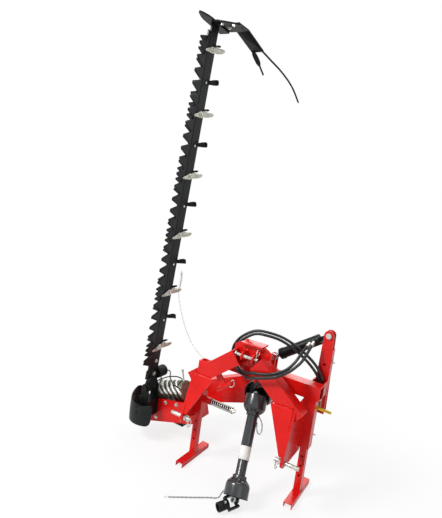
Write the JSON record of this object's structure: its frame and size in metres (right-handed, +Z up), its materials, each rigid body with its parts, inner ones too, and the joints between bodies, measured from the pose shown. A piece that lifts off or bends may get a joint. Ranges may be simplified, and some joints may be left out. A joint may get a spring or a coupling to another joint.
{
  "type": "sickle bar mower",
  "caption": "Rear-mounted sickle bar mower parked on its legs: red three-point headstock, raised double-knife cutter bar, hydraulic lift arm, belt drive and guarded driveline.",
  "frame": {"origin": "centre of the top link pin, midway between its two lugs", "axes": "+X to the right seen from the tractor, along the top link pin; +Y to the rear, away from the tractor; +Z up"},
  "size_m": [1.286, 1.1457, 2.6985],
  "materials": {
    "red_paint": "gloss red enamel on steel",
    "black_paint": "satin black enamel on steel",
    "zinc": "bright zinc plate",
    "steel": "bare machined steel",
    "rubber": "matt black rubber",
    "guard_plastic": "moulded dark grey plastic",
    "cast_aluminium": "as-cast aluminium",
    "yellow_grip": "dipped yellow plastic"
  },
  "bodies": {
    "headstock": {"crown": "red_paint", "beam_left": "red_paint", "beam_right": "red_paint", "hitch_bracket_left": "red_paint", "hitch_bracket_right": "red_paint", "rear_frame": "red_paint", "lift_mast": "red_paint", "top_link_pin": "zinc", "lower_pin_left": "zinc", "lower_pin_right": "zinc", "linch_pins": "zinc", "leg_screws": "zinc", "barrel_pin": "zinc", "valve_block": "zinc", "lift_hose_front": "rubber", "lift_hose_rear": "rubber", "pto_hood": "guard_plastic", "input_shaft": "black_paint", "input_bearings": "steel", "release_rod": "red_paint", "release_spring": "zinc", "stored_pin": "red_paint"},
    "left_leg": {"leg_left": "red_paint"},
    "right_leg": {"leg_right": "red_paint"},
    "valve_handle": {"valve_lever": "yellow_grip"},
    "lift_cylinder": {"lift_barrel": "black_paint"},
    "lift_piston": {"lift_rod": "steel"},
    "carrier_arm": {"arm_housing": "red_paint", "belt_cover": "red_paint", "drive_belts": "rubber", "crankcase": "cast_aluminium", "inner_shoe": "black_paint", "hinge_bracket": "black_paint", "hinge_pin": "zinc", "rubber_flap": "rubber", "flap_stays": "zinc", "rod_pin": "zinc"},
    "drive_wheel": {"drive_pulley": "steel"},
    "driven_wheel": {"driven_pulley": "steel"},
    "cutter_bar": {"bar_back": "black_paint", "upper_guides": "zinc", "lower_guides": "black_paint", "bar_bolts": "zinc", "knife_drive_head": "black_paint", "outer_shoe": "black_paint", "transport_chain": "zinc"},
    "top_knife": {"upper_knife": "black_paint"},
    "bottom_knife": {"lower_knife": "black_paint"},
    "swath": {"swath_board": "black_paint", "swath_rods": "black_paint"},
    "joint_cross": {"upper_cross": "steel"},
    "driveline": {"pto_upper_shaft": "steel", "pto_upper_guard": "guard_plastic", "guard_tether": "guard_plastic"},
    "telescope": {"pto_lower_shaft": "steel", "pto_lower_guard": "guard_plastic", "guard_chain": "zinc"},
    "end_cross": {"lower_cross": "steel"},
    "tractor_yoke": {"pto_yoke": "black_paint"},
    "lock_button": {"yoke_button": "steel"}
  },
  "joints": [
    {"name": "arm_swing", "type": "hinge", "parent": "headstock", "child": "carrier_arm", "pos_m": [0.04, 0.225, -0.255], "axis": [0, 1, 0], "range_deg": [-14, 0]},
    {"name": "bar_fold", "type": "hinge", "parent": "carrier_arm", "child": "cutter_bar", "pos_m": [-0.69, 0.0035, -0.415], "axis": [0, 1, 0], "range_deg": [-93.75, 0]},
    {"name": "top_knife_stroke", "type": "slide", "parent": "cutter_bar", "child": "top_knife", "axis": [0.0654, 0, 0.9979], "range_m": [-0.032, 0.032]},
    {"name": "bottom_knife_stroke", "type": "slide", "parent": "cutter_bar", "child": "bottom_knife", "axis": [0.0654, 0, 0.9979], "range_m": [-0.032, 0.032]},
    {"name": "swath_swing", "type": "hinge", "parent": "cutter_bar", "child": "swath", "pos_m": [-0.4312, 0.07, 1.92809], "axis": [0.0654, 0, 0.9979], "range_deg": [-8, 8], "stiffness_Nm_per_rad": 30},
    {"name": "lift_cylinder_swing", "type": "hinge", "parent": "headstock", "child": "lift_cylinder", "pos_m": [0.375, 0.279, 0.185], "axis": [0, 1, 0], "range_deg": [-0.5, 5]},
    {"name": "lift_rod_stroke", "type": "slide", "parent": "lift_cylinder", "child": "lift_piston", "axis": [-0.8169, 0, -0.5768], "range_m": [-0.002, 0.06]},
    {"name": "left_leg_slide", "type": "slide", "parent": "headstock", "child": "left_leg", "axis": [0, 0, 1], "range_m": [0, 0.2]},
    {"name": "right_leg_slide", "type": "slide", "parent": "headstock", "child": "right_leg", "axis": [0, 0, 1], "range_m": [0, 0.2]},
    {"name": "valve_turn", "type": "hinge", "parent": "headstock", "child": "valve_handle", "pos_m": [0.378, 0.215, -0.239], "axis": [0, 1, 0], "range_deg": [0, 90]},
    {"name": "drive_pulley_spin", "type": "hinge", "parent": "headstock", "child": "drive_wheel", "pos_m": [0.04, 0.301, -0.255], "axis": [0, 1, 0], "continuous": true},
    {"name": "driven_pulley_spin", "type": "hinge", "parent": "carrier_arm", "child": "driven_wheel", "pos_m": [-0.52, 0.301, -0.477], "axis": [0, 1, 0], "continuous": true},
    {"name": "driveline_pitch", "type": "hinge", "parent": "headstock", "child": "joint_cross", "pos_m": [0.04, 0.119, -0.255], "axis": [1, 0, 0], "range_deg": [-60, 5]},
    {"name": "driveline_yaw", "type": "hinge", "parent": "joint_cross", "child": "driveline", "pos_m": [0.04, 0.119, -0.255], "axis": [0, -0.8231, 0.5678], "range_deg": [-18, 6]},
    {"name": "driveline_slide", "type": "slide", "parent": "driveline", "child": "telescope", "axis": [0.1693, -0.5596, -0.8112], "range_m": [0, 0.18]},
    {"name": "end_yaw", "type": "hinge", "parent": "telescope", "child": "end_cross", "pos_m": [0.13716, -0.20206, -0.72041], "axis": [0, -0.8231, 0.5678], "range_deg": [0, 75]},
    {"name": "end_pitch", "type": "hinge", "parent": "end_cross", "child": "tractor_yoke", "pos_m": [0.13716, -0.20206, -0.72041], "axis": [0.7853, -0.3515, -0.5096], "range_deg": [-3, 60]},
    {"name": "yoke_lock", "type": "slide", "parent": "tractor_yoke", "child": "lock_button", "axis": [-0.4143, 0.3133, -0.8545], "range_m": [0, 0.006], "stiffness_N_per_m": 2500, "springref_m": -0.001}
  ],
  "couplings": [
    {"joint": "bottom_knife_stroke", "follows": "top_knife_stroke", "ratio": -1},
    {"joint": "lift_cylinder_swing", "follows": "arm_swing", "ratio": -0.22763},
    {"joint": "lift_rod_stroke", "follows": "arm_swing", "m_per_rad": -0.18241},
    {"joint": "driven_pulley_spin", "follows": "drive_pulley_spin", "ratio": 1.5}
  ]
}
